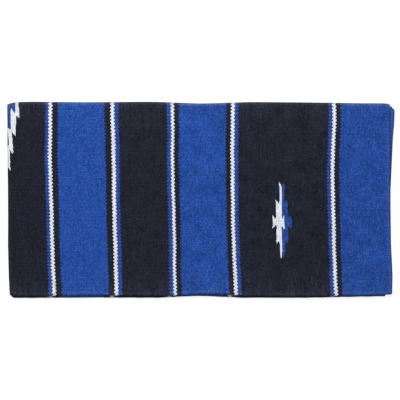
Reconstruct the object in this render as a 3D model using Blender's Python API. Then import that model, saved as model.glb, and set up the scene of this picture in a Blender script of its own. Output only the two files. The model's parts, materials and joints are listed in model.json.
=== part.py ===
"""Saddle blanket, flat-woven wool in royal blue, black and white, folded in four as it is shelved.

The cloth is weft-faced: bands of dyed yarn run across the horse's back and hide the warp that
holds them. It is folded once end to end (the ply fold, at -X) and once along the horse's spine
(the spine fold, at +Y). Each folded quarter is a leaf. From the top: near outer, near inner,
off inner, off outer. The near side turns on the spine fold.

Metres, +Z up. The blanket lies on z = 0, centred on the origin, its length along X.
"""

import math

import bmesh
import bpy
import numpy as np

# The cloth and how close its pieces lie
CLOTH_THICK = 0.0030
CLEARANCE = 0.0003
WARP_THICK = 0.0012
SELVEDGE_CORD_DIAMETER = 0.0016
HEM_ROUNDING = 0.0010
SPINE_WEB = 0.0020
HEADING_CLOSED_END = 0.0020

# Folded size across, from the hems to the outside of the spine fold
FOLDED_WIDTH = 0.4075
NEAR_HEM_SHORT = 0.0030

# Widths of the woven bands, from the ply fold to the end of the blanket
CENTRE_HALF_WIDTH = 0.0786
FIRST_ROYAL_WIDTH = 0.0999
BLACK_BAND_WIDTH = 0.1003
SECOND_ROYAL_WIDTH = 0.0963
MOTIF_BAND_WIDTH = 0.1877
END_ROYAL_WIDTH = 0.1023
HEADING_WIDTH = 0.0060
ROYAL_PIN_WIDTH = 0.0080
WHITE_PIN_WIDTH = 0.0070
BLACK_PIN_WIDTH = 0.0105
# Each run of three pinstripes was beaten in by hand, so their widths vary a little
PIN_RUN_WIDTH_SHARES = (1.0, 1.15, 0.98, 1.0, 0.95)

# The stepped figure near each end of the cloth, one on each leaf
MOTIF_WIDTH = 0.0437
MOTIF_LENGTH = 0.1590
MOTIF_FROM_SPINE = 0.2395
MOTIF_FROM_BAND_START = 0.0942
# One row for each step: start and end along the figure, then the white yarn's two edges and
# the royal yarn's far edge across it
MOTIF_STEP_SHARES = (
    (0.00, 0.22, 0.27, 0.46, 0.60),
    (0.22, 0.44, 0.17, 0.46, 0.72),
    (0.44, 0.62, 0.00, 0.57, 1.00),
    (0.62, 0.80, 0.17, 0.46, 0.72),
    (0.80, 1.00, 0.29, 0.46, 0.58),
)

# How far the leaves slipped past one another when the blanket was folded by hand. Each row
# gives the shift at the ply fold, at the first pinstripes and at the end of the cloth
LAY_SLIP = 0.0100
SPINE_SLIP_SHARES = {
    "outer": (0.0, -0.5, -0.1),
    "inner": (0.0, 0.2, 0.6),
}
HEM_SLIP_SHARES = {
    ("near", "outer"): (0.25, 0.5, 0.1),
    ("near", "inner"): (0.25, -0.1, -0.2),
    ("off", "inner"): (0.20, -0.4, -1.0),
    ("off", "outer"): (0.20, -0.55, -1.1),
}

PLY_FOLD_STEPS = 6
SPINE_FOLD_STEPS = 8
CORD_SIDES = 6

# What follows from the sizes above
HALF_CLOTH = CLOTH_THICK / 2
HALF_CLEARANCE = CLEARANCE / 2
PITCH = CLOTH_THICK + CLEARANCE
STACK_HEIGHT = 4 * CLOTH_THICK + 3 * CLEARANCE
SLOT_HALF = WARP_THICK / 2 + CLEARANCE
CORD_RADIUS = SELVEDGE_CORD_DIAMETER / 2
CORD_HOLE_HALF = CORD_RADIUS + CLEARANCE
PLY_FOLD_RADIUS = CLOTH_THICK + HALF_CLEARANCE
AXIS_Z = STACK_HEIGHT / 2
SPINE_ARC_Y = FOLDED_WIDTH / 2 - AXIS_Z
FOLD_Y = SPINE_ARC_Y - CLEARANCE
AXIS_Y = FOLD_Y + HALF_CLEARANCE
OFF_REACH = FOLDED_WIDTH / 2 + FOLD_Y
REACHES = {"near": OFF_REACH - NEAR_HEM_SHORT, "off": OFF_REACH}

COLOURS = {
    "royal": ((0.020, 0.075, 0.330), 0.92),
    "black": ((0.016, 0.019, 0.030), 0.94),
    "white": ((0.760, 0.765, 0.800), 0.90),
    "undyed": ((0.640, 0.600, 0.520), 0.90),
}
PIN_RUN_NAMES = ("first", "second", "third", "fourth", "fifth")


def band_layout():
    """Lists (name, colour, start, end) of every band, from the ply fold to the cloth's end."""
    run_width = ROYAL_PIN_WIDTH + WHITE_PIN_WIDTH + BLACK_PIN_WIDTH
    wide = (
        ("first_royal_band", "royal", FIRST_ROYAL_WIDTH),
        ("black_band", "black", BLACK_BAND_WIDTH),
        ("second_royal_band", "royal", SECOND_ROYAL_WIDTH),
        ("motif_band", "black", MOTIF_BAND_WIDTH),
        ("end_royal_band", "royal", END_ROYAL_WIDTH),
    )
    rows = [("centre_band", "black", 0.0, CENTRE_HALF_WIDTH)]
    start = CENTRE_HALF_WIDTH
    for index, (name, colour, width) in enumerate(wide):
        end = start + run_width * PIN_RUN_WIDTH_SHARES[index]
        rows.append((f"{PIN_RUN_NAMES[index]}_pinstripes", "white", start, end))
        start = end
        rows.append((name, colour, start, start + width))
        start += width
    rows.append(("end_heading", "royal", start, start + HEADING_WIDTH))
    return rows


BANDS = band_layout()
HALF_LENGTH = BANDS[-1][3]
SPINE_OVERHANG = LAY_SLIP * max(shares[2] for shares in SPINE_SLIP_SHARES.values())
LEFT_EDGE = -(HALF_LENGTH + SPINE_OVERHANG) / 2


def slip(side, ply, along, down):
    """The shift in X of a point `along` the length and `down` from the spine on one leaf."""
    spine = SPINE_SLIP_SHARES[ply]
    hem = HEM_SLIP_SHARES[(side, ply)]
    share = down / REACHES[side]
    rows = [a * (1 - share) + b * share for a, b in zip(spine, hem)]
    return LAY_SLIP * np.interp(along, (PLY_FOLD_RADIUS, CENTRE_HALF_WIDTH, HALF_LENGTH), rows)


def folded_point(side, along, turn, down, out):
    """The place of a point of the cloth.

    along: distance from the ply fold; turn: angle round the ply fold, a quarter turn up on the
    outer ply and a quarter turn down on the inner one; down: distance from the spine towards
    the hem; out: distance from the cloth's middle, positive away from the ply fold's inside.
    """
    ply = "outer" if turn > 0 else "inner"
    x = LEFT_EDGE + along - (PITCH / 2 + out) * math.cos(turn) + slip(side, ply, along, down)
    height = PITCH + (PITCH / 2 + out) * math.sin(turn)
    z = AXIS_Z + height if side == "near" else AXIS_Z - height
    return (x, FOLD_Y - down, z)


def spine_point(along, turn, out, angle):
    """The place of a point in the spine fold, `angle` up from level round the fold's axis."""
    ply = "outer" if turn > 0 else "inner"
    x = LEFT_EDGE + along - (PITCH / 2 + out) * math.cos(turn) + slip("near", ply, along, 0.0)
    height = PITCH + (PITCH / 2 + out) * math.sin(turn)
    return (x, SPINE_ARC_Y + height * math.cos(angle), AXIS_Z + height * math.sin(angle))


def flat_stations(ply, start, end):
    """The two stations, (along, turn), of a band that lies flat in one ply."""
    turn = math.pi / 2 if ply == "outer" else -math.pi / 2
    return [(start, turn), (end, turn)]


def hairpin_stations(end):
    """Stations from the outer ply at `end`, round the ply fold, to the inner ply at `end`."""
    bend = [
        (PLY_FOLD_RADIUS, math.pi / 2 - math.pi * step / PLY_FOLD_STEPS)
        for step in range(PLY_FOLD_STEPS + 1)
    ]
    middle = PLY_FOLD_STEPS // 2
    bend[middle] = (PLY_FOLD_RADIUS, 0.0)
    return [(end, math.pi / 2)] + bend + [(end, -math.pi / 2)]


def sleeve_loop(side):
    """Outline of a weft band seen along the warp: (down, out), rounded at the hem."""
    hem = REACHES[side]
    neck = hem - HEM_ROUNDING - CORD_HOLE_HALF * 2
    crown = hem - HEM_ROUNDING - CORD_HOLE_HALF
    side_points = [
        (0.0, HALF_CLOTH),
        (neck, HALF_CLOTH),
        (crown, HALF_CLOTH),
        (hem - HEM_ROUNDING, HALF_CLOTH),
        (hem, HALF_CLOTH - HEM_ROUNDING),
    ]
    return side_points + [(down, -out) for down, out in reversed(side_points)]


def slot_loop(side):
    """The space inside a weft band for the warp, with the selvedge cord's hole at the hem."""
    centre = cord_centre(side)
    corner = CORD_HOLE_HALF * math.tan(math.pi / 8)
    side_points = [
        (SPINE_WEB, SLOT_HALF),
        (centre - CORD_HOLE_HALF, SLOT_HALF),
        (centre - corner, CORD_HOLE_HALF),
        (centre + corner, CORD_HOLE_HALF),
        (centre + CORD_HOLE_HALF, corner),
    ]
    return side_points + [(down, -out) for down, out in reversed(side_points)]


def cord_centre(side):
    """How far down from the spine a selvedge cord lies."""
    return REACHES[side] - HEM_ROUNDING - CORD_HOLE_HALF


def warp_loop(side):
    """Section of the warp sheet, which stops short of the selvedge cord."""
    start = SPINE_WEB + CLEARANCE
    end = cord_centre(side) - CORD_RADIUS - CLEARANCE
    half = WARP_THICK / 2
    return [(start, half), (end, half), (end, -half), (start, -half)]


def cord_loop(side):
    """Section of a selvedge cord."""
    turns = [2 * math.pi * step / CORD_SIDES for step in range(CORD_SIDES)]
    centre = cord_centre(side)
    return [(centre + CORD_RADIUS * math.cos(a), CORD_RADIUS * math.sin(a)) for a in turns]


def add_skin(mesh, rings):
    """Joins each ring of vertices to the next with quads."""
    for ring, other in zip(rings, rings[1:]):
        for index in range(len(ring)):
            after = (index + 1) % len(ring)
            mesh.faces.new((ring[index], ring[after], other[after], other[index]))


def ring_at(mesh, side, station, loop):
    """Vertices of one section of a leaf."""
    return [mesh.verts.new(folded_point(side, *station, down, out)) for down, out in loop]


def add_solid_sweep(mesh, side, stations, loop):
    """A solid bar of the given section through the stations."""
    rings = [ring_at(mesh, side, station, loop) for station in stations]
    add_skin(mesh, rings)
    mesh.faces.new(rings[0])
    mesh.faces.new(rings[-1])


def add_sleeve(mesh, side, stations):
    """A weft band: a flat sleeve round the warp, open where its neighbours join it."""
    outside = [ring_at(mesh, side, station, sleeve_loop(side)) for station in stations]
    inside = [ring_at(mesh, side, station, slot_loop(side)) for station in stations]
    add_skin(mesh, outside)
    add_skin(mesh, inside)
    add_skin(mesh, [outside[0], inside[0]])
    add_skin(mesh, [outside[-1], inside[-1]])


def add_end_sleeve(mesh, side, stations):
    """The heading that closes the cloth's end: a sleeve with a blind pocket."""
    (start, turn), (end, _) = stations
    outside = [ring_at(mesh, side, station, sleeve_loop(side)) for station in stations]
    pocket = ((start, turn), (end - HEADING_CLOSED_END, turn))
    inside = [ring_at(mesh, side, station, slot_loop(side)) for station in pocket]
    add_skin(mesh, outside)
    add_skin(mesh, inside)
    add_skin(mesh, [outside[0], inside[0]])
    mesh.faces.new(outside[1])
    mesh.faces.new(inside[1])


def add_spine_arc(mesh, section):
    """The cloth's run round the spine fold; section lists (along, turn, out)."""
    rings = []
    for step in range(SPINE_FOLD_STEPS + 1):
        angle = math.pi / 2 - math.pi * step / SPINE_FOLD_STEPS
        rings.append([mesh.verts.new(spine_point(*point, angle)) for point in section])
    add_skin(mesh, rings)
    mesh.faces.new(rings[0])
    mesh.faces.new(rings[-1])


def hairpin_section(end):
    """Section of both plies across the spine, joined through the ply fold."""
    stations = hairpin_stations(end)
    outside = [(along, turn, HALF_CLOTH) for along, turn in stations]
    inside = [(along, turn, -HALF_CLOTH) for along, turn in reversed(stations)]
    return outside + inside


def make_material(colour):
    """Matt wool or cotton yarn."""
    material = bpy.data.materials.new(f"{colour}_yarn")
    material.use_nodes = True
    shader = material.node_tree.nodes["Principled BSDF"]
    rgb, roughness = COLOURS[colour]
    shader.inputs["Base Color"].default_value = (*rgb, 1.0)
    shader.inputs["Roughness"].default_value = roughness
    shader.inputs["Metallic"].default_value = 0.0
    return material


def place_object(name, mesh, axis, colour):
    """Turns a bmesh in world places into an object that hangs from the fold's axis, if given."""
    bmesh.ops.recalc_face_normals(mesh, faces=mesh.faces[:])
    if axis is not None:
        bmesh.ops.translate(mesh, verts=mesh.verts[:], vec=-axis.location)
    data = bpy.data.meshes.new(name)
    mesh.to_mesh(data)
    mesh.free()
    piece = bpy.data.objects.new(name, data)
    piece.parent = axis
    bpy.context.scene.collection.objects.link(piece)
    if colour is not None:
        data.materials.append(make_material(colour))
    return piece


def make_axis():
    """The spine fold's axis: the near side turns on it."""
    axis = bpy.data.objects.new("spine_fold_axis", None)
    axis.location = (0.0, AXIS_Y, AXIS_Z)
    axis.empty_display_size = FOLDED_WIDTH / 4
    bpy.context.scene.collection.objects.link(axis)
    return axis


def make_leaf_bands(side, ply, axis):
    """Every weft band of one leaf but the centre band, which runs on into the other ply."""
    pieces = {}
    for name, colour, start, end in BANDS[1:-1]:
        mesh = bmesh.new()
        add_sleeve(mesh, side, flat_stations(ply, start + HALF_CLEARANCE, end - HALF_CLEARANCE))
        pieces[name] = place_object(f"{side}_{ply}_{name}", mesh, axis, colour)
    return pieces


def make_end_heading(side, ply, axis):
    """The narrow heading that closes the warp's ends on one leaf."""
    mesh = bmesh.new()
    name, colour, start, end = BANDS[-1]
    add_end_sleeve(mesh, side, flat_stations(ply, start + HALF_CLEARANCE, end))
    place_object(f"{side}_{ply}_{name}", mesh, axis, colour)


def make_centre_band(side, axis):
    """The black centre band of one side, through the ply fold."""
    mesh = bmesh.new()
    add_sleeve(mesh, side, hairpin_stations(CENTRE_HALF_WIDTH - HALF_CLEARANCE))
    place_object(f"{side}_centre_band", mesh, axis, "black")


def make_warp(side, axis):
    """The undyed warp of one side, drawn as one sheet through both plies."""
    mesh = bmesh.new()
    end = HALF_LENGTH - HEADING_CLOSED_END - CLEARANCE
    add_solid_sweep(mesh, side, hairpin_stations(end), warp_loop(side))
    place_object(f"{side}_warp", mesh, axis, "undyed")


def make_selvedge_cord(side, axis):
    """The heavier cord along one hem, through both plies."""
    mesh = bmesh.new()
    end = HALF_LENGTH - HEADING_CLOSED_END - CLEARANCE
    add_solid_sweep(mesh, side, hairpin_stations(end), cord_loop(side))
    place_object(f"{side}_selvedge_cord", mesh, axis, "undyed")


def make_spine_fold():
    """The cloth's run round the spine, both plies, where all the bands bend over."""
    mesh = bmesh.new()
    add_spine_arc(mesh, hairpin_section(HALF_LENGTH))
    place_object("spine_fold", mesh, None, "royal")


def motif_start():
    """Where the figure starts along the cloth."""
    band = next(row for row in BANDS if row[0] == "motif_band")
    return band[2] + MOTIF_FROM_BAND_START - MOTIF_WIDTH / 2


def stepped_outline(near_share, far_share):
    """Outline, (along, down), between two of the edges in the table of steps."""
    start = motif_start()
    top = MOTIF_FROM_SPINE - MOTIF_LENGTH / 2
    near_side = []
    far_side = []
    for row in MOTIF_STEP_SHARES:
        for share in row[:2]:
            down = top + MOTIF_LENGTH * share
            near_side.append((start + MOTIF_WIDTH * row[near_share], down))
            far_side.append((start + MOTIF_WIDTH * row[far_share], down))
    return without_straight_points(far_side + near_side[::-1])


def without_straight_points(outline):
    """Drops the points where the outline doesn't turn."""
    kept = []
    for index, point in enumerate(outline):
        before = outline[index - 1]
        after = outline[(index + 1) % len(outline)]
        if before == point:
            continue
        along_line = before[0] == point[0] == after[0]
        down_line = before[1] == point[1] == after[1]
        if not along_line and not down_line:
            kept.append(point)
    return kept


def grown_outline(outline, distance):
    """Moves every edge of a square-cornered outline outwards by a distance."""
    area = 0.0
    for (x0, y0), (x1, y1) in zip(outline, outline[1:] + outline[:1]):
        area += x0 * y1 - x1 * y0
    hand = 1.0 if area > 0 else -1.0
    moved = []
    for index, (x, y) in enumerate(outline):
        before = outline[index - 1]
        after = outline[(index + 1) % len(outline)]
        shift_x = 0.0
        shift_y = 0.0
        for (ax, ay), (bx, by) in ((before, (x, y)), ((x, y), after)):
            shift_x += hand * distance * np.sign(by - ay)
            shift_y -= hand * distance * np.sign(bx - ax)
        moved.append((x + shift_x, y + shift_y))
    return moved


def add_plate(mesh, side, ply, outline, low, high):
    """A flat plate of the given outline in one leaf's cloth."""
    turn = math.pi / 2 if ply == "outer" else -math.pi / 2
    rings = []
    for out in (low, high):
        points = [folded_point(side, along, turn, down, out) for along, down in outline]
        rings.append([mesh.verts.new(point) for point in points])
    add_skin(mesh, rings)
    mesh.faces.new(rings[0])
    mesh.faces.new(rings[1])


def make_motif(side, ply, axis, band):
    """The stepped figure of one leaf: white yarn beside royal yarn, in a window of the band.

    It lies in the face that shows when the blanket is folded or spread over a back.
    """
    window = bmesh.new()
    overrun = CLOTH_THICK
    outline = grown_outline(stepped_outline(2, 4), HALF_CLEARANCE)
    add_plate(window, side, ply, outline, 0.0, overrun)
    cutter = place_object(f"{side}_{ply}_motif_window", window, axis, None)
    cutter.hide_render = True
    cutter.display_type = "WIRE"
    cut = band.modifiers.new("motif_window", "BOOLEAN")
    cut.operation = "DIFFERENCE"
    cut.solver = "EXACT"
    cut.object = cutter
    for colour, near_share, far_share in (("white", 2, 3), ("royal", 3, 4)):
        mesh = bmesh.new()
        outline = grown_outline(stepped_outline(near_share, far_share), -HALF_CLEARANCE)
        add_plate(mesh, side, ply, outline, SLOT_HALF, HALF_CLOTH)
        place_object(f"{side}_{ply}_motif_{colour}", mesh, axis, colour)


def build_blanket():
    """Clears the scene and makes the folded blanket."""
    for old in list(bpy.data.objects):
        bpy.data.objects.remove(old, do_unlink=True)
    axis = make_axis()
    for side in ("near", "off"):
        carrier = axis if side == "near" else None
        for ply in ("outer", "inner"):
            pieces = make_leaf_bands(side, ply, carrier)
            make_end_heading(side, ply, carrier)
            make_motif(side, ply, carrier, pieces["motif_band"])
        make_centre_band(side, carrier)
        make_warp(side, carrier)
        make_selvedge_cord(side, carrier)
    make_spine_fold()


build_blanket()
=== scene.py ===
"""A flat-woven saddle blanket, folded in four, dressed for the photograph's view from above."""

import json
import math

import bpy
import numpy as np
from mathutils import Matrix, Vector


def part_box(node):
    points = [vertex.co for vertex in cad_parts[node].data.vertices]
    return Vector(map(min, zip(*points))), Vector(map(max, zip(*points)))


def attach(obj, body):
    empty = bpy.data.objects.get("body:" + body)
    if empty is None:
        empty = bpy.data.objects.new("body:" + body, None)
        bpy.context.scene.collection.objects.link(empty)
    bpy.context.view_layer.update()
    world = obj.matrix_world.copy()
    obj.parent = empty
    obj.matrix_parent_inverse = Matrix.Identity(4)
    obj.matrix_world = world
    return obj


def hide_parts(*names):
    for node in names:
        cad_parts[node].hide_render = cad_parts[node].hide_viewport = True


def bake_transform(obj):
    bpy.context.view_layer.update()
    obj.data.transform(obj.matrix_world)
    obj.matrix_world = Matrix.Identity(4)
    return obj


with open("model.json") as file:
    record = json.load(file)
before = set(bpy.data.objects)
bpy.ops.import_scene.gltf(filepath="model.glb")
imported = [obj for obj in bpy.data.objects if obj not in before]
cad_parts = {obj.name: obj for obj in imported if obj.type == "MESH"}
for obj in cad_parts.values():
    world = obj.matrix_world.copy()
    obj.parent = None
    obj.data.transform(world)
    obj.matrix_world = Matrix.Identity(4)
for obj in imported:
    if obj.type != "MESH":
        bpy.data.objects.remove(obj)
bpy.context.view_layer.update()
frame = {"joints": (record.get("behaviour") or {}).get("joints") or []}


# Camera: it looks straight down on the folded blanket from well above, so that the two long
# edges stay parallel, and its frame is 836 mm wide, 2.09 mm for each pixel of the photograph.
FRAME_WIDTH = 0.836
CAMERA_HEIGHT = 3.4
CAMERA_X = -0.0010
CAMERA_Y = 0.0005
camera_data = bpy.data.cameras.new("photo_camera")
camera_data.sensor_width = 36.0
camera_data.lens = camera_data.sensor_width * CAMERA_HEIGHT / FRAME_WIDTH
camera_data.clip_end = 50.0
camera = bpy.data.objects.new("photo_camera", camera_data)
camera.location = (CAMERA_X, CAMERA_Y, CAMERA_HEIGHT)
bpy.context.scene.collection.objects.link(camera)
bpy.context.scene.camera = camera


# Studio: a white sheet under the blanket, one broad soft lamp beyond the spine fold, at the
# photograph's top, and even white light from all round, so colours come out about as written.
FLOOR_SIZE = 14.0
FLOOR_DROP = 0.0005
FLOOR_WHITE = 0.31
FLOOR_GLOW = 0.80
LAMP_SIZE = 2.2
LAMP_PLACE = (-0.3, 2.3, 3.0)
LAMP_POWER = 122.0
SKY_LEVEL = 0.45


def make_floor():
    """A level square of white paper, a little brighter to the camera than to the blanket."""
    half = FLOOR_SIZE / 2
    corners = [(-half, -half), (half, -half), (half, half), (-half, half)]
    mesh = bpy.data.meshes.new("floor")
    mesh.from_pydata([(x, y, -FLOOR_DROP) for x, y in corners], [], [(0, 1, 2, 3)])
    floor = bpy.data.objects.new("floor", mesh)
    bpy.context.scene.collection.objects.link(floor)
    material = bpy.data.materials.new("white_paper")
    material.use_nodes = True
    tree = material.node_tree
    shader = tree.nodes["Principled BSDF"]
    shader.inputs["Base Color"].default_value = (FLOOR_WHITE, FLOOR_WHITE, FLOOR_WHITE, 1.0)
    shader.inputs["Roughness"].default_value = 0.9
    shader.inputs["Specular IOR Level"].default_value = 0.0
    shader.inputs["Emission Color"].default_value = (1.0, 1.0, 1.0, 1.0)
    path = tree.nodes.new("ShaderNodeLightPath")
    glow = tree.nodes.new("ShaderNodeMath")
    glow.operation = "MULTIPLY"
    glow.inputs[1].default_value = FLOOR_GLOW
    tree.links.new(path.outputs["Is Camera Ray"], glow.inputs[0])
    tree.links.new(glow.outputs[0], shader.inputs["Emission Strength"])
    mesh.materials.append(material)


def make_lights():
    """The lamp is a square facing the origin; the sky is plain white to the camera."""
    lamp_data = bpy.data.lights.new("soft_lamp", "AREA")
    lamp_data.size = LAMP_SIZE
    lamp_data.energy = LAMP_POWER
    lamp = bpy.data.objects.new("soft_lamp", lamp_data)
    lamp.location = LAMP_PLACE
    x, y, z = LAMP_PLACE
    lamp.rotation_euler = (math.atan2(math.hypot(x, y), z), 0.0, math.atan2(y, x) + math.pi / 2)
    bpy.context.scene.collection.objects.link(lamp)
    world = bpy.data.worlds.new("studio")
    world.use_nodes = True
    tree = world.node_tree
    sky = tree.nodes["Background"]
    sky.inputs["Color"].default_value = (1.0, 1.0, 1.0, 1.0)
    path = tree.nodes.new("ShaderNodeLightPath")
    level = tree.nodes.new("ShaderNodeMapRange")
    level.inputs["To Min"].default_value = SKY_LEVEL
    level.inputs["To Max"].default_value = 1.0
    tree.links.new(path.outputs["Is Camera Ray"], level.inputs["Value"])
    tree.links.new(level.outputs["Result"], sky.inputs["Strength"])
    bpy.context.scene.world = world


make_floor()
make_lights()
bpy.context.scene.view_settings.view_transform = "Standard"


# Royal blue bands: wide runs of dyed wool weft, beaten down so hard that they hide the warp.
# Every weft goes from one hem over the spine fold to the other; two bands lie between
# pinstripes, and one ends in the narrow heading that closes the cloth's end.
ROYAL_BANDS = {
    "first_royal_band": (0.1049, 0.2038),
    "second_royal_band": (0.35805, 0.4546),
    "end_royal_band": (0.6932, 0.7946),
}
# Each band's royal: how deep its colour is, darker band by band towards the cloth's end, and how cloudy
ROYAL_BAND_DEPTH_AND_CLOUD = {
    "first_royal_band": (0.98, 0.35),
    "second_royal_band": (0.925, 1.00),
    "end_royal_band": (0.84, 0.85),
}
HEADING_GROOVES = (0.7970, 0.7982)
ROYAL = (0.0087, 0.0668, 0.3690)
ROYAL_FLECK_AND_EDGE_SHEEN = (0.112, 0.180, 0.39)

CLOTH_HALF = 0.00138
CLOTH_PITCH = 0.0033
CLOTH_END = 0.8006
WARP_PITCH = 0.00366
RIB_RELIEF = 0.00010
RIB_LIFTS = ((0.0046, 1.1), (0.0171, 1.2), (0.0262, 1.2))
LOCK_HALF = 0.0010
COLUMN_STEP = 0.0085
END_ROUNDING = (0.0014, 0.0008, 0.0003, 0.0)
HEM_ROUNDING = (0.0028, 0.0017, 0.0007, 0.0)
HEM_SHARE = (1.0, 0.86, 0.58, 0.14)
PLY_TURN_RADIUS = 0.00315
SPINE_STEPS = 17
# Radius at which the open cloth's own map goes round the spine fold
MAP_RADIUS = CLOTH_PITCH * 1.5
HEM_MARGIN = 0.0002
LEFT_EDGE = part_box("spine_fold")[0][0]
HINGE = frame["joints"][0]["pos_m"]

# Down from the spine to each leaf's hem
HEM_REACH = {"near": 0.3968, "off": 0.4007}
# How the edges stray from straight. Each row holds a station along the cloth in metres, then how
# far the near hem, the off hem and the spine lie astray there in millimetres
EDGE_STRAY = (
    (0.0, -0.5, 0.0, -1.9),
    (0.02, 0.2, 0.4, 1.4),
    (0.05, 0.6, 0.3, 2.0),
    (0.16, -2.0, -0.3, 1.0),
    (0.22, -1.2, -0.3, 1.4),
    (0.29, -0.3, 0.0, 1.9),
    (0.32, -0.3, 0.0, 1.6),
    (0.36, -1.8, -1.8, -0.2),
    (0.40, -4.7, -4.0, -1.7),
    (0.44, -3.6, -2.3, -0.8),
    (0.50, 0.2, 0.2, 1.4),
    (0.53, 0.5, 0.0, 1.4),
    (0.62, 0.9, 0.2, 0.6),
    (0.70, -0.7, -1.4, -0.5),
    (0.735, -1.6, -2.0, -1.1),
    (0.78, -2.3, -2.8, -1.2),
    (0.80, -3.2, -2.8, -1.4),
)
EDGE_ALONG, NEAR_STRAY, OFF_STRAY, SPINE_STRAY = np.transpose(EDGE_STRAY)
SPINE_FADE = 0.05
HEM_WOBBLE = 0.00022
HEM_WOBBLE_RATE = 1370
# Length and depth of the rounded corners at the cloth's end and at the ply fold
END_CORNER = 0.0035
END_CORNER_DEPTH = 0.0028
FOLD_CORNER = 0.0090
FOLD_CORNER_DEPTH = 0.00585
# Where the spine fold ends, each ply's corner is rounded over the last stretch of cloth: how far
# the fold drops there, how far the end is drawn in over the first few millimetres down, and how
# much lower the fold lies from one distance before the cloth's end to the other
SPINE_ROUND = 0.014
SPINE_DROP = {"outer": 0.0036, "inner": 0.0}
SPINE_DRAW = {"outer": 0.0, "inner": 0.0062}
SPINE_DRAW_REACH = 0.0070
SPINE_DRAW_RAMP = 1.4
SPINE_SAG = {"outer": 0.0, "inner": 0.0030}
SPINE_SAG_SPAN = (0.132, 0.012)
SPINE_CORNER = 0.0013
# Waves in which the weft's lines wander: radians to the metre down and along, and their size
WANDER_WAVES = ((31, 19, 0.0004), (83, -47, 0.00022))
WANDER_FADE = 0.03
WANDER_AT_END = 0.3
SWELL = 0.0005
SWELL_FADE_DOWN = 0.05
SWELL_FADE_ALONG = 0.04

# How far each ply lies astray along X, in millimetres, from being folded and patted down by
# hand: one row for each distance down from the spine, one column for each station along
LAY_ALONG = (PLY_TURN_RADIUS, 0.0889, 0.2204, 0.3448, 0.4685, 0.6792, CLOTH_END)
LAY_DOWN = (0.0, 0.040, 0.100, 0.165, 0.230, 0.290, 0.355, 0.400)
LAY = {
    ("near", "outer"): (
        (0.3, 1.3, -0.5, -0.1, 2.5, 2.6, -2.1),
        (0.8, 1.8, 0.3, 0.3, 2.2, 2.4, -2.1),
        (1.0, 1.2, 1.5, 0.2, 1.5, -0.3, -2.1),
        (1.9, 2.1, 2.8, 1.6, 1.5, -0.5, -1.7),
        (2.2, 4.2, 4.1, 2.6, 2.7, 0.4, -1.2),
        (2.0, 6.2, 5.2, 4.3, 4.7, 2.1, -0.2),
        (3.7, 8.4, 6.9, 4.9, 6.9, 4.8, 2.7),
        (5.8, 9.9, 8.3, 6.4, 9.0, 6.9, 1.7),
    ),
    ("near", "inner"): (
        (0.3, 0.5, 1.0, 2.0, 3.2, 4.6, 7.7),
        (0.8, 0.7, 1.0, 2.0, 3.0, 4.2, 6.4),
        (1.0, 0.8, 1.0, 1.5, 1.5, 1.2, 1.2),
        (1.9, 1.0, 1.0, 1.0, 0.0, -1.0, -2.5),
        (2.2, 1.5, 1.0, 0.5, -0.5, -1.5, -3.0),
        (2.0, 2.0, 1.0, 0.5, -0.5, -1.0, -2.0),
        (3.7, 3.0, 2.0, 1.0, 0.0, -0.5, -1.0),
        (5.8, 4.0, 3.0, 1.0, 0.0, 0.0, -1.0),
    ),
    ("off", "inner"): (
        (0.3, 0.5, 1.0, 2.0, 3.2, 4.6, 7.7),
        (5.0, 2.2, -1.2, -6.5, -3.4, -0.6, -11.5),
    ),
    ("off", "outer"): (
        (0.3, 1.3, -0.5, -0.1, 2.5, 2.6, -2.1),
        (5.0, 1.0, -1.5, -7.0, -3.7, -1.0, -12.5),
    ),
}


def lay_slip(side, ply, along, down):
    """Slip along X in metres: straight lines between the stations of the leaf's table."""
    rows = LAY[(side, ply)]
    downs = LAY_DOWN if len(rows) > 2 else (LAY_DOWN[0], LAY_DOWN[-1])
    place = np.interp(down, downs, np.arange(len(rows)))
    weights = [np.clip(1 - np.abs(place - number), 0, 1) for number in range(len(rows))]
    return sum(w * np.interp(along, LAY_ALONG, row) for w, row in zip(weights, rows)) / 1000


def cloth_rows():
    """Rows across the blanket from the off hem, over the spine, to the near hem.

    Each leaf has one row at the crest and one in the valley of every rib, then four that round
    the hem. Gives side (-1 off, 1 near), nominal distance down, angle round the spine fold,
    share of full thickness, rib height and the distance across the open cloth.
    """
    reach = HEM_REACH["off"]
    count = int((reach - HEM_ROUNDING[0] - HEM_MARGIN) / (WARP_PITCH / 2))
    order = np.arange(1, count + 1)
    down = np.concatenate([order * WARP_PITCH / 2, reach - np.array(HEM_ROUNDING)])
    rib = np.concatenate([order % 2, np.zeros(len(HEM_ROUNDING))]).astype(float)
    for inset, lift in RIB_LIFTS:
        rib = rib + lift * (np.abs(down - (reach - inset)) < WARP_PITCH / 4)
    share = np.concatenate([np.ones(count), HEM_SHARE])
    turns = np.linspace(-math.pi / 2, math.pi / 2, SPINE_STEPS + 1)
    arc = turns * MAP_RADIUS
    leaf = np.ones(len(down))
    flat = np.zeros(len(turns))
    return {
        "side": np.concatenate([-leaf, np.sign(turns), leaf]),
        "down": np.concatenate([down[::-1], flat, down]),
        "turn": np.concatenate([leaf * turns[0], turns, leaf * turns[-1]]),
        "share": np.concatenate([share[::-1], flat + 1.0, share]),
        "rib": np.concatenate([rib[::-1], np.abs(np.sin(np.pi * arc / WARP_PITCH)), rib]),
        "across": np.concatenate([-down[::-1] + arc[0], arc, down + arc[-1]]),
    }


ROWS = cloth_rows()


def round_off(share):
    """Depth of a rounded stretch: 0 where it starts, and nearly 1 where it ends in a wall."""
    return 1 - np.sqrt(1 - share**2 * 0.98)


def leaf_swell(x, along, down):
    """How far the near leaves rise, because they were laid last and don't lie dead flat.

    A long wave and a shorter one cross each leaf, and both fade out towards its two folds.
    """
    long_wave = 0.5 * np.sin(x * 14 + 0.8) * np.cos(down * 11 - 0.5)
    short_wave = 0.35 * np.sin(x * 37 - down * 23)
    fade = np.clip(down / SWELL_FADE_DOWN, 0, 1) * np.clip(along / SWELL_FADE_ALONG, 0, 1)
    return SWELL * (1.5 + long_wave + short_wave) * fade


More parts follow.
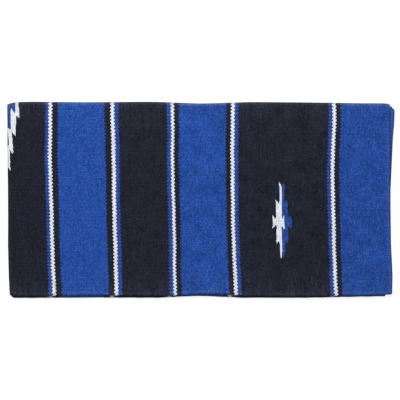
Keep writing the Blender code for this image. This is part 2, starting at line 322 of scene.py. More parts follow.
def cloth_surface(ply, along, bend, out_share):
    """Places a grid of cloth points, rows across and columns along, on one of its two faces.

    x is the distance along, drawn back by the ply fold's cosine, plus the slip; the distance
    from the spine's axis is the pitch plus the ply fold's sine times its radius; y falls with
    the distance down from the spine, and in the spine fold y and z turn round the axis.
    """
    near = ROWS["side"][:, None] > 0
    turn = ROWS["turn"][:, None]
    near_hem, off_hem, spine = (
        np.interp(along, EDGE_ALONG, stray) / 1000 for stray in (NEAR_STRAY, OFF_STRAY, SPINE_STRAY)
    )
    end_corner = round_off(np.clip((along - (CLOTH_END - END_CORNER)) / END_CORNER, 0, 1))
    fold_corner = round_off(np.clip((PLY_TURN_RADIUS + FOLD_CORNER - along) / FOLD_CORNER, 0, 1))
    corner = END_CORNER_DEPTH * end_corner + FOLD_CORNER_DEPTH * fold_corner
    corner = corner + HEM_WOBBLE * np.sin(along * HEM_WOBBLE_RATE)
    hem = np.where(near, HEM_REACH["near"] + near_hem, HEM_REACH["off"] + off_hem) - corner
    down = ROWS["down"][:, None] * hem / HEM_REACH["off"]

    chamfer = np.clip((along - (CLOTH_END - SPINE_ROUND)) / SPINE_ROUND, 0, 1)
    sag = np.interp(along, [CLOTH_END - inset for inset in SPINE_SAG_SPAN], (0, 1))
    lower = spine - SPINE_DROP[ply] * round_off(chamfer) - SPINE_SAG[ply] * sag
    lower = (lower - SPINE_CORNER * fold_corner) * np.exp(-((down / SPINE_FADE) ** 2))
    below = CLOTH_PITCH / 2 * (1 - np.cos(turn)) + down
    drawn = np.clip(1 - below / SPINE_DRAW_REACH, 0, 1) * np.clip(chamfer * SPINE_DRAW_RAMP, 0, 1)
    slip = np.where(near, lay_slip("near", ply, along, down), lay_slip("off", ply, along, down))
    slip = slip - SPINE_DRAW[ply] * drawn

    # The weft is never beaten quite straight, so its lines wander by half a millimetre
    wander = sum(size * np.sin(down * fall + along * run) for fall, run, size in WANDER_WAVES)
    fade_in = np.clip(along / WANDER_FADE, 0, 1)
    fade_out = np.clip((CLOTH_END - along) / WANDER_FADE, WANDER_AT_END, 1)
    slip = slip + wander * fade_in * fade_out

    past_end = np.clip((along - (CLOTH_END - END_ROUNDING[0])) / END_ROUNDING[0], 0, 1)
    thick = CLOTH_HALF * ROWS["share"][:, None] * (1 - round_off(past_end))
    out = out_share * (thick + RIB_RELIEF * (ROWS["rib"][:, None] - 0.5))
    x = LEFT_EDGE + along - (CLOTH_PITCH / 2 + out) * np.cos(bend) + slip
    radius = CLOTH_PITCH + (CLOTH_PITCH / 2 + out) * np.sin(bend)
    swell = leaf_swell(x, along, down) * radius / (2 * CLOTH_PITCH)
    radius = radius + np.where(near, swell, 0)
    y = HINGE[1] - down + lower + radius * np.cos(turn)
    z = HINGE[2] + radius * np.sin(turn)
    return np.stack([x + 0 * z, y, z], axis=-1)


def woven_mesh(name, ply, along, bend, owned, paint=None):
    """A slab of cloth: the owned cells of a grid on both faces, with walls round their edge.

    A cell's corners are row i and i + 1, column j and j + 1. Both faces' corners sit half a
    thickness out from the cloth's middle. A wall stands wherever an owned cell meets one
    that isn't. The UV map holds millimetres of open cloth, along and across.
    """
    top = cloth_surface(ply, along, bend, 1.0)
    bottom = cloth_surface(ply, along, bend, -1.0)
    rows, columns = top.shape[:2]
    index = np.arange(rows * columns).reshape(rows, columns)
    under = index + rows * columns
    padded = np.pad(owned, 1)
    faces, paints = [], []

    def add(cells, *corners):
        i, j = np.nonzero(cells)
        faces.append(np.stack([grid[i + di, j + dj] for grid, di, dj in corners], axis=1))
        paints.append(paint[i, j] if paint is not None else np.zeros(len(i), int))

    add(owned, (index, 0, 0), (index, 1, 0), (index, 1, 1), (index, 0, 1))
    add(owned, (under, 0, 0), (under, 0, 1), (under, 1, 1), (under, 1, 0))
    add(owned & ~padded[1:-1, :-2], (index, 0, 0), (under, 0, 0), (under, 1, 0), (index, 1, 0))
    add(owned & ~padded[1:-1, 2:], (index, 0, 1), (index, 1, 1), (under, 1, 1), (under, 0, 1))
    add(owned & ~padded[:-2, 1:-1], (index, 0, 0), (index, 0, 1), (under, 0, 1), (under, 0, 0))
    add(owned & ~padded[2:, 1:-1], (index, 1, 0), (under, 1, 0), (under, 1, 1), (index, 1, 1))
    quads = np.concatenate(faces)
    if ply == "inner":
        quads = quads[:, ::-1]
    used, quads = np.unique(quads, return_inverse=True)
    quads = quads.reshape(-1, 4)
    points = np.concatenate([top.reshape(-1, 3), bottom.reshape(-1, 3)])[used]
    hand = 1.0 if ply == "outer" else -1.0
    across = ROWS["across"][:, None] + 0 * along
    open_along = along - (math.pi / 2 - np.abs(bend)) * CLOTH_PITCH / 2
    cloth = np.stack([hand * open_along + 0 * across, across], axis=-1)
    cloth = np.tile(cloth.reshape(-1, 2), (2, 1))[used] * 1000

    mesh = bpy.data.meshes.new(name)
    mesh.vertices.add(len(points))
    mesh.vertices.foreach_set("co", points.astype(np.float32).ravel())
    mesh.loops.add(quads.size)
    mesh.loops.foreach_set("vertex_index", quads.astype(np.int32).ravel())
    mesh.polygons.add(len(quads))
    mesh.polygons.foreach_set("loop_start", np.arange(0, quads.size, 4, dtype=np.int32))
    mesh.polygons.foreach_set("material_index", np.concatenate(paints).astype(np.int32))
    mesh.update(calc_edges=True)
    uv = mesh.uv_layers.new(name="cloth")
    uv.data.foreach_set("uv", cloth[quads.ravel()].astype(np.float32).ravel())
    mesh.polygons.foreach_set("use_smooth", np.ones(len(quads), bool))
    mesh.set_sharp_from_angle(angle=math.radians(50))
    piece = bpy.data.objects.new(name, mesh)
    bpy.context.scene.collection.objects.link(piece)
    return piece


def row_parity():
    """1 for cells on the odd ribs across the cloth and 0 for those on the even ones."""
    middle = (ROWS["across"][1:] + ROWS["across"][:-1]) / 2
    return np.floor(middle / WARP_PITCH).astype(int) % 2


def stepped(start, stops):
    """Places from the start to each stop in turn, in steps as near as can be to the stop's own."""
    places = [start]
    for stop, step in stops:
        count = max(1, round((stop - places[-1]) / step))
        places.extend(np.linspace(places[-1], stop, count + 1)[1:])
    return places


def band_columns(start, end, fine=None):
    """Columns of a band: one weft either side of each edge, then even steps between.

    fine = (from, to, step) sets closer columns where a figure is woven in.
    """
    stops = [(end - LOCK_HALF, COLUMN_STEP)]
    if fine is not None:
        stops = [(fine[0], COLUMN_STEP), (fine[1], fine[2]), *stops]
    return np.array([start - LOCK_HALF, *stepped(start + LOCK_HALF, stops), end + LOCK_HALF])


def locked_cells(columns, open_start=False, open_end=False):
    """Cells of a band whose edge wefts lock with its neighbours over alternate warps."""
    owned = np.ones((len(ROWS["across"]) - 1, len(columns) - 1), bool)
    if not open_start:
        owned[:, 0] = row_parity() == 1
    if not open_end:
        owned[:, -1] = row_parity() == 0
    return owned


def flat_bend(ply, columns):
    """A quarter turn up on the outer ply and down on the inner one: both lie flat."""
    return np.full(len(columns), math.pi / 2 if ply == "outer" else -math.pi / 2)


# Measures of the weave's pattern: lengths are millimetres of open cloth, scales are steps of noise
# to the millimetre, and where there are two the first is along the cloth and the second across it
BEAD_LENGTH = 1.8
SWAY_SCALE = 0.11
SWAY = (1.4, 0.9)
FIBRE_SCALE = 1.7
FIBRE_HEIGHT = 0.35
SPECK_SCALE = 0.62
SPECK_GAIN = 2.2
SPECK_SHARE = 0.24
RIB_TONE = 0.16
STREAK_SCALE = (0.42, 0.014)
STREAK_GAIN = 1.2
DASH_SCALE = (0.50, 0.25)
DASH_GAIN = 0.5
CLOUD_SCALE = 0.035
STRAY_SCALE = (0.56, 0.40)
STRAY_RANGE = (0.10, 0.25)
STRAY_TONE = 1.25

# Along the cloth's edges: a paler mix, partly raised fibres and partly painted sheen, and painted
# shade on the outermost millimetres. A line has its distance from the edge, its width and its
# strength; a fall has its reach and its strength at the edge itself
EDGE_SHEEN_AND_FUZZ_FALLS = {"spine": (12.0, 0.12), "hem": (16.0, 0.08)}
EDGE_SHEEN_AND_FUZZ_LINES = {
    "spine": (4.7, 2.4, 0.30),
    "hem": (5.5, 2.0, 0.16),
    "end": (5.0, 3.5, 0.16),
    "ply fold": (5.0, 2.0, 0.16),
}
EDGE_SHEEN_AND_FUZZ_PATCHINESS = 2.2
# Painted shade on the outermost millimetres of folds, hems and ends, where the cloth rounds away from the
# light
EDGE_SHADE_LINES = {
    "spine": (0.0, 3.8, 0.51),
    "hem": (0.0, 2.2, 0.34),
    "end": (0.0, 2.2, 0.34),
    "ply fold": (0.0, 2.2, 0.34),
}
# Wider paler zones along the spine and hems, partly raised fibres and partly painted sheen
WIDE_EDGE_SHEEN_AND_FUZZ_FALLS = {"spine": (28.0, 1.0), "hem": (24.0, 1.0)}


def weave_group():
    """Node group: weft-faced plain weave from the cloth map in millimetres.

    Ribs run along the cloth over each warp; on each rib the wefts show as beads, half a bead
    out of step with the next rib. Height is the rib's sine times the bead's sine. Tone is a
    random value for each bead and speck, a shade lighter on every second rib, with slow streaks
    that follow single wefts, raised where stray pale fibres lie, and darkened by painted shade
    in the gaps between beads and on the outermost millimetres of folds, hems and ends. The pale
    mix beside those edges, strongest close to them, is partly raised fibres and partly painted
    sheen; the pale tips of fibres that catch the light join it.
    """
    group = bpy.data.node_groups.new("weft_faced_weave", "ShaderNodeTree")
    for name in ("Bead Tone", "Streak Tone", "Cloud Tone", "Gap Shade", "Pale Specks", "Edge Sheen And Fuzz", "Wide Edge Sheen And Fuzz"):
        group.interface.new_socket(name, in_out="INPUT", socket_type="NodeSocketFloat")
    group.interface.new_socket("Cloth", in_out="INPUT", socket_type="NodeSocketVector")
    for name in ("Height", "Tone", "Fleck And Edge Sheen"):
        group.interface.new_socket(name, in_out="OUTPUT", socket_type="NodeSocketFloat")
    nodes, links = group.nodes, group.links
    given, made = nodes.new("NodeGroupInput"), nodes.new("NodeGroupOutput")
    cloth = given.outputs["Cloth"]

    def calc(operation, *values):
        node = nodes.new("ShaderNodeMath")
        node.operation = operation
        for socket, value in zip(node.inputs, values):
            if isinstance(value, (int, float)):
                socket.default_value = value
            else:
                links.new(value, socket)
        return node.outputs[0]

    def total(parts):
        """The sum of any number of values."""
        result = parts[0]
        for part in parts[1:]:
            result = calc("ADD", result, part)
        return result

    def noise(vector, scale, detail):
        """Noise between about -0.5 and 0.5."""
        node = nodes.new("ShaderNodeTexNoise")
        node.inputs["Scale"].default_value = scale
        node.inputs["Detail"].default_value = detail
        links.new(vector, node.inputs["Vector"])
        return calc("SUBTRACT", node.outputs["Fac"], 0.5)

    def stretched_noise(scales, detail):
        """Noise with one scale along the cloth and another across it."""
        node = nodes.new("ShaderNodeVectorMath")
        node.operation = "MULTIPLY"
        node.inputs[1].default_value = (*scales, 1.0)
        links.new(cloth, node.inputs[0])
        return noise(node.outputs["Vector"], 1.0, detail)

    def arch(value, power):
        """A round arch over each whole step of the value."""
        return calc("POWER", calc("SINE", calc("MULTIPLY", calc("FRACT", value), math.pi)), power)

    split = nodes.new("ShaderNodeSeparateXYZ")
    links.new(cloth, split.inputs[0])
    along, across = split.outputs["X"], split.outputs["Y"]
    sway = noise(cloth, SWAY_SCALE, 2.0)
    swayed_along = calc("ADD", along, calc("MULTIPLY", sway, SWAY[0]))
    swayed_across = calc("ADD", across, calc("MULTIPLY", sway, SWAY[1]))
    rib = calc("DIVIDE", swayed_across, WARP_PITCH * 1000)
    step = calc("MULTIPLY", calc("FLOORED_MODULO", calc("FLOOR", rib), 2.0), 0.5)
    bead = calc("ADD", calc("DIVIDE", swayed_along, BEAD_LENGTH), step)
    bead_bulge = calc("ADD", calc("MULTIPLY", arch(bead, 0.6), 0.6), 0.4)
    bulge = calc("MULTIPLY", arch(rib, 0.7), bead_bulge)
    fibre = calc("MULTIPLY", noise(cloth, FIBRE_SCALE, 3.0), FIBRE_HEIGHT)
    links.new(calc("ADD", bulge, fibre), made.inputs["Height"])

    cell = nodes.new("ShaderNodeCombineXYZ")
    links.new(calc("FLOOR", rib), cell.inputs["X"])
    links.new(calc("FLOOR", bead), cell.inputs["Y"])
    dots = nodes.new("ShaderNodeTexWhiteNoise")
    dots.noise_dimensions = "2D"
    links.new(cell.outputs["Vector"], dots.inputs["Vector"])
    single_beads = calc("SUBTRACT", dots.outputs["Value"], 0.5)
    fine_specks = calc("MULTIPLY", noise(cloth, SPECK_SCALE, 1.0), SPECK_GAIN)
    second_ribs = calc("MULTIPLY", calc("SUBTRACT", step, 0.25), RIB_TONE)
    specks = calc("ADD", second_ribs, calc("ADD", single_beads, fine_specks))
    streaks = calc("MULTIPLY", stretched_noise(STREAK_SCALE, 3.0), STREAK_GAIN)
    dashes = stretched_noise(DASH_SCALE, 2.0)
    lines = calc("ADD", streaks, calc("MULTIPLY", dashes, DASH_GAIN))
    stray = nodes.new("ShaderNodeMapRange")
    stray.inputs["From Min"].default_value, stray.inputs["From Max"].default_value = STRAY_RANGE
    stray.inputs["To Max"].default_value = STRAY_TONE
    links.new(stretched_noise(STRAY_SCALE, 1.5), stray.inputs["Value"])
    bead_tone = calc("MULTIPLY", specks, given.outputs["Bead Tone"])
    streak_tone = calc("MULTIPLY", lines, given.outputs["Streak Tone"])
    cloud_tone = calc("MULTIPLY", noise(cloth, CLOUD_SCALE, 3.0), given.outputs["Cloud Tone"])
    slow = calc("ADD", streak_tone, cloud_tone)
    tone = calc("ADD", total([bead_tone, slow, stray.outputs["Result"]]), 1.0)
    # Painted shade in the gaps between beads darkens the tone
    gap_depth = calc("MULTIPLY", calc("SUBTRACT", 1.0, bulge), given.outputs["Gap Shade"])
    tone = calc("MULTIPLY", tone, calc("SUBTRACT", 1.0, gap_depth))

    from_edge = {"spine": calc("ABSOLUTE", across), "ply fold": calc("ABSOLUTE", along)}
    from_edge["hem"] = calc("SUBTRACT", ROWS["across"][-1] * 1000, from_edge["spine"])
    from_edge["end"] = calc("SUBTRACT", CLOTH_END * 1000, from_edge["ply fold"])

    def fall(edge, reach, amount):
        """The amount at the edge itself, falling to about a third over each reach."""
        return calc("MULTIPLY", calc("EXPONENT", calc("DIVIDE", from_edge[edge], -reach)), amount)

    def line(edge, place, width, amount):
        """A soft line along the edge at one distance from it."""
        step_off = calc("DIVIDE", calc("SUBTRACT", from_edge[edge], place), width)
        bell = calc("EXPONENT", calc("MULTIPLY", calc("POWER", step_off, 2.0), -1.0))
        return calc("MULTIPLY", bell, amount)

    # Painted shade along the outermost edges darkens the tone
    edge_shade = total([line(edge, *measures) for edge, measures in EDGE_SHADE_LINES.items()])
    links.new(calc("MULTIPLY", tone, calc("SUBTRACT", 1.0, edge_shade)), made.inputs["Tone"])

    # Paler mix beside the edges: partly raised fibres, partly painted sheen
    edge_sheen_and_fuzz = total(
        [fall(edge, *measures) for edge, measures in EDGE_SHEEN_AND_FUZZ_FALLS.items()]
        + [line(edge, *measures) for edge, measures in EDGE_SHEEN_AND_FUZZ_LINES.items()]
    )
    wide_edge_sheen_and_fuzz = total([fall(edge, *measures) for edge, measures in WIDE_EDGE_SHEEN_AND_FUZZ_FALLS.items()])
    edge_sheen_and_fuzz = calc("MULTIPLY", edge_sheen_and_fuzz, given.outputs["Edge Sheen And Fuzz"])
    edge_sheen_and_fuzz = calc("ADD", edge_sheen_and_fuzz, calc("MULTIPLY", wide_edge_sheen_and_fuzz, given.outputs["Wide Edge Sheen And Fuzz"]))
    uneven = calc("ADD", calc("MULTIPLY", calc("ADD", dashes, streaks), EDGE_SHEEN_AND_FUZZ_PATCHINESS), 1.0)
    edge_sheen_and_fuzz = calc("MULTIPLY", edge_sheen_and_fuzz, calc("MAXIMUM", uneven, 0.0))
    tips = calc("MULTIPLY", calc("ADD", specks, SPECK_SHARE), given.outputs["Pale Specks"])
    fleck_and_edge_sheen = calc("ADD", edge_sheen_and_fuzz, calc("MAXIMUM", tips, 0.0))
    links.new(calc("MINIMUM", fleck_and_edge_sheen, 1.0), made.inputs["Fleck And Edge Sheen"])
    return group


WEAVE = weave_group()


def wool(name, colour, fleck_and_edge_sheen, sheen, traits):
    """Dyed wool weft: its colour, with a paler one where stray fibres speck it and painted sheen
    lies beside the edges, times the tone.

    traits = values for the weave group's inputs, by name; those left out stay at nought.
    """
    material = bpy.data.materials.new(name)
    material.use_nodes = True
    nodes, links = material.node_tree.nodes, material.node_tree.links
    shader = nodes["Principled BSDF"]
    cloth = nodes.new("ShaderNodeUVMap")
    cloth.uv_map = "cloth"
    weave = nodes.new("ShaderNodeGroup")
    weave.node_tree = WEAVE
    for socket, value in traits.items():
        weave.inputs[socket].default_value = value
    links.new(cloth.outputs["UV"], weave.inputs["Cloth"])
    dyed = nodes.new("ShaderNodeMix")
    dyed.data_type = "RGBA"
    dyed.inputs["A"].default_value = (*colour, 1.0)
    dyed.inputs["B"].default_value = (*fleck_and_edge_sheen, 1.0)
    links.new(weave.outputs["Fleck And Edge Sheen"], dyed.inputs["Factor"])
    tint = nodes.new("ShaderNodeVectorMath")
    tint.operation = "SCALE"
    links.new(dyed.outputs["Result"], tint.inputs[0])
    links.new(weave.outputs["Tone"], tint.inputs["Scale"])
    links.new(tint.outputs["Vector"], shader.inputs["Base Color"])
    bump = nodes.new("ShaderNodeBump")
    bump.inputs["Strength"].default_value = 0.5
    bump.inputs["Distance"].default_value = 0.0005
    links.new(weave.outputs["Height"], bump.inputs["Height"])
    links.new(bump.outputs["Normal"], shader.inputs["Normal"])
    shader.inputs["Roughness"].default_value = 0.92
    shader.inputs["Specular IOR Level"].default_value = 0.10
    shader.inputs["Sheen Weight"].default_value = sheen
    shader.inputs["Sheen Roughness"].default_value = 0.55
    return material


def royal_wool(name, depth, cloud):
    """Royal wool of one band: the same colour times its depth."""
    colour = tuple(depth * channel for channel in ROYAL)
    traits = {"Bead Tone": 0.28, "Streak Tone": 0.40, "Cloud Tone": cloud, "Gap Shade": 0.35}
    return wool(name, colour, ROYAL_FLECK_AND_EDGE_SHEEN, 0.04, {**traits, "Pale Specks": 0.30, "Edge Sheen And Fuzz": 1.0})


# The royal of the narrow stripes and figures is a little duller than the bands'
NARROW_ROYAL = (0.0232, 0.0715, 0.309)
NARROW_TRAITS = {"Bead Tone": 0.78, "Streak Tone": 0.46, "Cloud Tone": 0.5, "Gap Shade": 0.35, "Edge Sheen And Fuzz": 1.0}
ROYAL_WOOL = wool("royal_wool", NARROW_ROYAL, ROYAL_FLECK_AND_EDGE_SHEEN, 0.04, NARROW_TRAITS)
ROYAL_BAND_WOOL = {name: royal_wool(f"royal_wool_{name}", *lot) for name, lot in ROYAL_BAND_DEPTH_AND_CLOUD.items()}


def carry(piece, ply, *nodes):
    """A run of cloth over both sides of the spine, baked in place, stands for its CAD nodes."""
    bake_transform(piece)
    if nodes:
        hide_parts(*nodes)


for ply in ("outer", "inner"):
    start, end = ROYAL_BANDS["end_royal_band"][1], CLOTH_END
    ends = [end - inset for inset in END_ROUNDING]
    columns = np.array([start - LOCK_HALF, start + LOCK_HALF, *HEADING_GROOVES, *ends])
    cells = locked_cells(columns, open_end=True)
    heading = woven_mesh(f"{ply}_ply_end_heading", ply, columns, flat_bend(ply, columns), cells)
    heading.data.materials.append(ROYAL_BAND_WOOL["end_royal_band"])
    carry(heading, ply, f"near_{ply}_end_heading", f"off_{ply}_end_heading")
    for name, (start, end) in ROYAL_BANDS.items():
        columns = band_columns(start, end)
        cells = locked_cells(columns)
        band = woven_mesh(f"{ply}_ply_{name}", ply, columns, flat_bend(ply, columns), cells)
        band.data.materials.append(ROYAL_BAND_WOOL[name])
        carry(band, ply, f"near_{ply}_{name}", f"off_{ply}_{name}")


# Plain black band: near-black wool between the two inner royal bands, woven like them from
# hem to hem. Its dye takes unevenly, so single wefts and beads show greyer than the rest.
BLACK_BAND = (0.2326, 0.3334)
BLACK = (0.0140, 0.0165, 0.0281)
BLACK_FLECK_AND_EDGE_SHEEN = (0.042, 0.045, 0.072)


def black_wool(name, depth, streak, cloud):
    """Black wool of one dye lot: the same colour times its depth, more or less even."""
    colour = tuple(depth * channel for channel in BLACK)
    traits = {"Bead Tone": 0.80, "Streak Tone": streak, "Cloud Tone": cloud, "Gap Shade": 0.35}
    return wool(name, colour, BLACK_FLECK_AND_EDGE_SHEEN, 0.02, {**traits, "Edge Sheen And Fuzz": 1.2, "Wide Edge Sheen And Fuzz": 0.26})


BLACK_WOOL = black_wool("black_wool", 0.99, 0.66, 0.7)

for ply in ("outer", "inner"):
    columns = band_columns(*BLACK_BAND)
    cells = locked_cells(columns)
    band = woven_mesh(f"{ply}_ply_black_band", ply, columns, flat_bend(ply, columns), cells)
    band.data.materials.append(BLACK_WOOL)
    carry(band, ply, f"near_{ply}_black_band", f"off_{ply}_black_band")


# Motif band with its end figures: a wide black band in which a stepped, half white and half
# royal figure is woven by hand on each side of the spine. Its yarns turn back round the same
# warps as the black beside them, so the band leaves those cells of the weave open.
MOTIF_BAND = (0.4801, 0.6681)
# The figure's middle: along the cloth, then down from the spine; how far it spans before and
# past its middle; and the length of one of its beads
FIGURE_MIDDLE = (0.5713, 0.2397)
FIGURE_SPAN = (0.0215, 0.0235)
FIGURE_BEAD = 0.0011
WHITE = (0.722, 0.732, 0.791)
WHITE_FLECK_AND_EDGE_SHEEN = (0.60, 0.60, 0.66)
WHITE_TRAITS = {"Bead Tone": 0.26, "Streak Tone": 0.30, "Cloud Tone": 0.3, "Gap Shade": 0.10, "Edge Sheen And Fuzz": 1.0}
WHITE_WOOL = wool("white_wool", WHITE, WHITE_FLECK_AND_EDGE_SHEEN, 0.03, WHITE_TRAITS)
MOTIF_BLACK = black_wool("black_wool_motif_band", 1.0, 0.85, 1.3)

# Outlines in millimetres from the figure's middle: along the cloth, then down from the spine.
# The white yarn's part lies towards the ply fold and the royal's towards the cloth's end.
WHITE_FIGURE = (
    (-5.0, -82.0), (-2.3, -76.6), (0.5, -70.5), (0.2, -1.9), (4.4, -11.6), (4.9, -5.6), (4.4, 5.2),
    (5.3, 12.9), (3.1, 17.9), (0.9, 12.8), (-1.9, 8.6), (-1.7, 14.6), (-2.1, 51.0), (-2.1, 55.0),
    (-2.4, 71.5), (-4.8, 77.6), (-6.2, 75.5), (-6.3, 47.8), (-8.2, 41.2), (-12.8, 47.6),
    (-13.4, 42.5), (-12.4, 23.5), (-11.9, 10.5), (-13.9, 8.8), (-20.9, 16.8), (-20.0, 11.5),
    (-18.8, 2.0), (-19.2, -12.2), (-12.3, -1.9), (-11.5, -34.4), (-12.5, -44.2), (-5.6, -35.2),
    (-4.4, -40.8), (-4.2, -70.7), (-5.0, -76.0),
)
ROYAL_FIGURE = (
    (5.8, -79.6), (6.9, -75.0), (6.0, -57.6), (6.2, -38.0), (10.6, -44.4), (12.5, -39.0),
    (12.2, -14.6), (13.8, -5.8), (17.6, -11.0), (21.0, -6.5), (20.8, 1.3), (20.2, 11.5),
    (18.0, 17.4), (15.6, 12.0), (11.8, 10.9), (10.9, 40.4), (10.4, 46.8), (5.0, 42.6), (2.8, 71.6),
    (1.6, 74.2), (-1.8, 71.6), (-2.1, 55.0), (-2.1, 51.0), (-1.7, 14.6), (3.1, 17.9), (5.3, 12.9),
    (4.4, 5.2), (4.9, -5.6), (4.4, -11.6), (0.2, -1.9), (0.5, -70.5), (1.2, -72.8),
)


def inside_outline(outline, x, y):
    """True where a point lies inside a closed outline, by counting the edges to its right."""
    hits = np.zeros(np.broadcast(x, y).shape, int)
    for (ax, ay), (bx, by) in zip(outline, outline[1:] + outline[:1]):
        crosses = (ay > y) != (by > y)
        rise = by - ay if by != ay else 1.0
        hits += crosses & (x < ax + (y - ay) / rise * (bx - ax))
    return hits % 2 == 1


def figure_cells(columns, bend, white_outline, royal_outline, middle=(0.0, 0.0)):
    """Two masks of cells, white and royal, for a figure mirrored over the spine.

    Both outlines are as seen from above: where the cloth turns through the ply fold, the
    distance along is drawn back by the turn's cosine.
    """
    seen = columns - PLY_TURN_RADIUS * np.cos(bend)
    along = ((seen[1:] + seen[:-1])[None, :] / 2 - middle[0]) * 1000
    across = np.abs(ROWS["across"][1:] + ROWS["across"][:-1])[:, None] / 2
    down = (across - MAP_RADIUS * math.pi / 2) * HEM_REACH["near"] / HEM_REACH["off"]
    down = (down - middle[1]) * 1000
    white = inside_outline(white_outline, along, down)
    return white, inside_outline(royal_outline, along, down) & ~white


for ply in ("outer", "inner"):
    first, last = FIGURE_MIDDLE[0] - FIGURE_SPAN[0], FIGURE_MIDDLE[0] + FIGURE_SPAN[1]
    columns = band_columns(*MOTIF_BAND, fine=(first, last, FIGURE_BEAD))
    bend = flat_bend(ply, columns)
    masks = figure_cells(columns, bend, WHITE_FIGURE, ROYAL_FIGURE, FIGURE_MIDDLE)
    for yarn, material, cells in zip(("white", "royal"), (WHITE_WOOL, ROYAL_WOOL), masks):
        for side, chosen in (("near", ROWS["side"][1:] > 0), ("off", ROWS["side"][:-1] < 0)):
            figure = woven_mesh(f"{side}_{ply}_{yarn}_figure", ply, columns, bend, cells & chosen[:, None])
            figure.data.materials.append(material)
            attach(figure, f"{side}_side")
            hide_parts(f"{side}_{ply}_motif_{yarn}")
    ground = locked_cells(columns) & ~masks[0] & ~masks[1]
    band = woven_mesh(f"{ply}_ply_motif_band", ply, columns, bend, ground)
    band.data.materials.append(MOTIF_BLACK)
    carry(band, ply, f"near_{ply}_motif_band", f"off_{ply}_motif_band")


# Centre band with the centre figure: the black band that turns through the ply fold, with
# the blanket's largest figure over its middle. Folded in four, each quarter of the figure
# lies at the corner where both folds meet. The band is parted at the ply fold's crease.
CENTRE_END = 0.0786
CENTRE_FIGURE_END = 0.0290
CREASE_STEPS = 5
CENTRE_BLACK = black_wool("black_wool_centre_band", 0.94, 0.60, 0.4)
# One quarter's outlines in millimetres from the ply fold and down from the spine
CENTRE_WHITE = (
    (17.4, -15.0), (24.0, -15.0), (24.3, 24.2), (25.4, 28.8), (17.8, 20.4), (17.6, 57.5),
    (17.3, 63.8), (8.8, 53.6), (9.4, 58.1), (10.7, 72.9), (12.2, 90.8), (12.4, 98.2),
    (11.6, 100.8), (4.4, 91.2), (5.4, 98.2), (5.9, 117.3), (5.6, 128.0), (7.2, 136.6),
    (2.4, 131.4), (-4.0, 129.5), (-4.0, 85.0), (2.6, 84.5), (3.4, 81.0), (2.7, 69.0), (2.2, 61.0),
    (0.4, 54.0), (-4.0, 53.5), (-4.0, 43.5), (1.0, 46.0), (8.3, 50.6), (8.0, 46.5), (7.3, 29.3),
    (8.0, 9.4), (8.9, 4.4), (15.8, 16.2), (17.1, 12.0),
)
CENTRE_ROYAL = (
    (-4.0, -15.0), (17.4, -15.0), (17.1, 12.0), (15.8, 16.2), (8.9, 4.4), (8.0, 9.4), (7.3, 29.3),
    (8.0, 46.5), (8.3, 50.6), (1.0, 46.0), (-4.0, 43.5),
)

for ply in ("outer", "inner"):
    stops = ((CENTRE_FIGURE_END, FIGURE_BEAD), (CENTRE_END - LOCK_HALF, COLUMN_STEP))
    places = stepped(PLY_TURN_RADIUS, stops)
    columns = np.array([*[PLY_TURN_RADIUS] * CREASE_STEPS, *places, CENTRE_END + LOCK_HALF])
    turns = np.linspace(0, math.pi / 2, CREASE_STEPS + 1)[:-1]
    bend = np.concatenate([turns, np.full(len(columns) - CREASE_STEPS, math.pi / 2)])
    bend = bend if ply == "outer" else -bend
    masks = figure_cells(columns, bend, CENTRE_WHITE, CENTRE_ROYAL)
    for yarn, material, cells in zip(("white", "royal"), (WHITE_WOOL, ROYAL_WOOL), masks):
        figure = woven_mesh(f"{ply}_ply_centre_{yarn}_figure", ply, columns, bend, cells)
        figure.data.materials.append(material)
        carry(figure, ply)
    ground = locked_cells(columns, open_start=True) & ~masks[0] & ~masks[1]
    band = woven_mesh(f"{ply}_ply_centre_band", ply, columns, bend, ground)
    band.data.materials.append(CENTRE_BLACK)
    carry(band, ply, *(("near_centre_band", "off_centre_band") if ply == "outer" else ("spine_fold",)))


# Pinstripes: between every two wide bands lie three narrow runs of weft, royal, white and
# black, or black, white and royal. Each list gives the four edges of one run of three,
# measured from the ply fold; white is always in the middle.
PIN_RUNS = {
    "first_pinstripes": (0.0786, 0.08565, 0.09225, 0.1049),
    "second_pinstripes": (0.2038, 0.21695, 0.22410, 0.2326),
    "third_pinstripes": (0.3334, 0.34200, 0.34760, 0.35805),
    "fourth_pinstripes": (0.4546, 0.46510, 0.47170, 0.4801),
    "fifth_pinstripes": (0.6681, 0.67585, 0.68250, 0.6932),
}

for ply in ("outer", "inner"):
    for number, (name, edges) in enumerate(PIN_RUNS.items()):
        columns = np.array([edge + shift for edge in edges for shift in (-LOCK_HALF, LOCK_HALF)])
        # Odd cells lie inside a stripe; the even ones between them change hands rib by rib
        cell = np.arange(len(columns) - 1)
        before, after = np.maximum(cell - 1, 0) // 2, np.minimum(cell // 2, 2)
        paint = np.where(row_parity()[:, None] == 0, before, after)
        run = woven_mesh(
            f"{ply}_ply_{name}", ply, columns, flat_bend(ply, columns), locked_cells(columns), paint
        )
        order = (ROYAL_WOOL, WHITE_WOOL, BLACK_WOOL)
        for material in order if number % 2 == 0 else order[::-1]:
            run.data.materials.append(material)
        carry(run, ply, f"near_{ply}_{name}", f"off_{ply}_{name}")


# Warp and selvedge cords: undyed twisted yarn. One warp lies under each rib and runs round
# the ply fold; the thicker selvedge cords lie inside the hems. They are hidden, but they are
# what the wefts are woven round.
WARP_YARN_RADIUS = 0.00055
SELVEDGE_RADIUS = 0.0008
SELVEDGE_INSET = 0.0110
CORD_END = 0.7980
CORD_SIDES = 6
CORD_TURN_STEPS = 9
WARP_CLEARANCE = 0.016


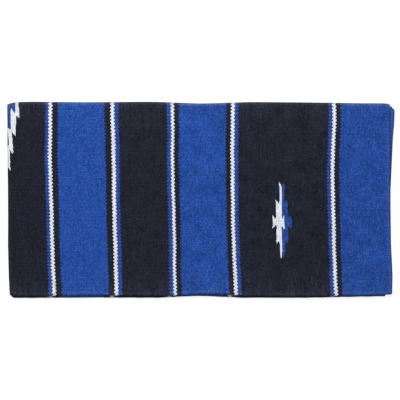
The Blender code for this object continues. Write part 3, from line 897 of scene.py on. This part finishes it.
def cord_mesh(name, centres, radius, side):
    """Hexagonal cords through the ply fold: a ring of six points carried along each cord's path.

    The path runs in on the outer ply, half round the ply fold and out on the inner ply.
    """
    turns = np.linspace(math.pi / 2, -math.pi / 2, CORD_TURN_STEPS)
    bend = np.concatenate([turns[:1], turns, turns[-1:]])
    along = np.array([CORD_END, *np.full(CORD_TURN_STEPS, PLY_TURN_RADIUS), CORD_END])
    angles = np.arange(CORD_SIDES) * 2 * math.pi / CORD_SIDES
    bend, along = bend[None, :, None], along[None, :, None]
    out = radius * np.sin(angles)[None, None, :]
    down = np.asarray(centres)[:, None, None] + radius * np.cos(angles)[None, None, :]
    slip = np.where(bend >= 0, lay_slip(side, "outer", along, down), lay_slip(side, "inner", along, down))
    x = LEFT_EDGE + along - (CLOTH_PITCH / 2 + out) * np.cos(bend) + slip
    away = CLOTH_PITCH + (CLOTH_PITCH / 2 + out) * np.sin(bend)
    z = HINGE[2] + (away if side == "near" else -away) + 0 * x
    points = np.stack([x, HINGE[1] - down + 0 * x, z], axis=-1)
    cords, rings, sides = points.shape[:3]
    index = np.arange(cords * rings * sides).reshape(cords, rings, sides)
    around = np.roll(index, -1, axis=2)
    walls = np.stack([index[:, :-1], around[:, :-1], around[:, 1:], index[:, 1:]], axis=-1).reshape(-1, 4)
    caps = np.concatenate([index[:, 0], index[:, -1][:, ::-1]])
    if side == "near":
        walls, caps = walls[:, ::-1], caps[:, ::-1]
    mesh = bpy.data.meshes.new(name)
    mesh.from_pydata(points.reshape(-1, 3).tolist(), [], walls.tolist() + caps.tolist())
    mesh.polygons.foreach_set("use_smooth", np.ones(len(mesh.polygons), bool))
    piece = bpy.data.objects.new(name, mesh)
    bpy.context.scene.collection.objects.link(piece)
    return piece


def undyed_yarn():
    """Twisted yarn: its tone follows slanting bands along the cord."""
    material = bpy.data.materials.new("undyed_wool")
    material.use_nodes = True
    nodes, links = material.node_tree.nodes, material.node_tree.links
    shader = nodes["Principled BSDF"]
    place = nodes.new("ShaderNodeTexCoord")
    bands = nodes.new("ShaderNodeTexWave")
    bands.bands_direction = "DIAGONAL"
    bands.inputs["Scale"].default_value = 260.0
    bands.inputs["Distortion"].default_value = 2.0
    links.new(place.outputs["Object"], bands.inputs["Vector"])
    twist = nodes.new("ShaderNodeMix")
    twist.data_type = "RGBA"
    twist.inputs["A"].default_value = (0.50, 0.46, 0.38, 1.0)
    twist.inputs["B"].default_value = (0.66, 0.62, 0.53, 1.0)
    links.new(bands.outputs["Fac"], twist.inputs["Factor"])
    links.new(twist.outputs["Result"], shader.inputs["Base Color"])
    shader.inputs["Roughness"].default_value = 0.9
    return material


UNDYED_YARN = undyed_yarn()
for side in ("near", "off"):
    count = int((HEM_REACH[side] - WARP_CLEARANCE) / WARP_PITCH)
    warp = cord_mesh(f"{side}_warp_cords", (np.arange(1, count) + 0.5) * WARP_PITCH, WARP_YARN_RADIUS, side)
    hem_cord = cord_mesh(f"{side}_hem_cord", [HEM_REACH[side] - SELVEDGE_INSET], SELVEDGE_RADIUS, side)
    for cord, node in ((warp, f"{side}_warp"), (hem_cord, f"{side}_selvedge_cord")):
        cord.data.materials.append(UNDYED_YARN)
        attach(cord, f"{side}_side")
        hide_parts(node)
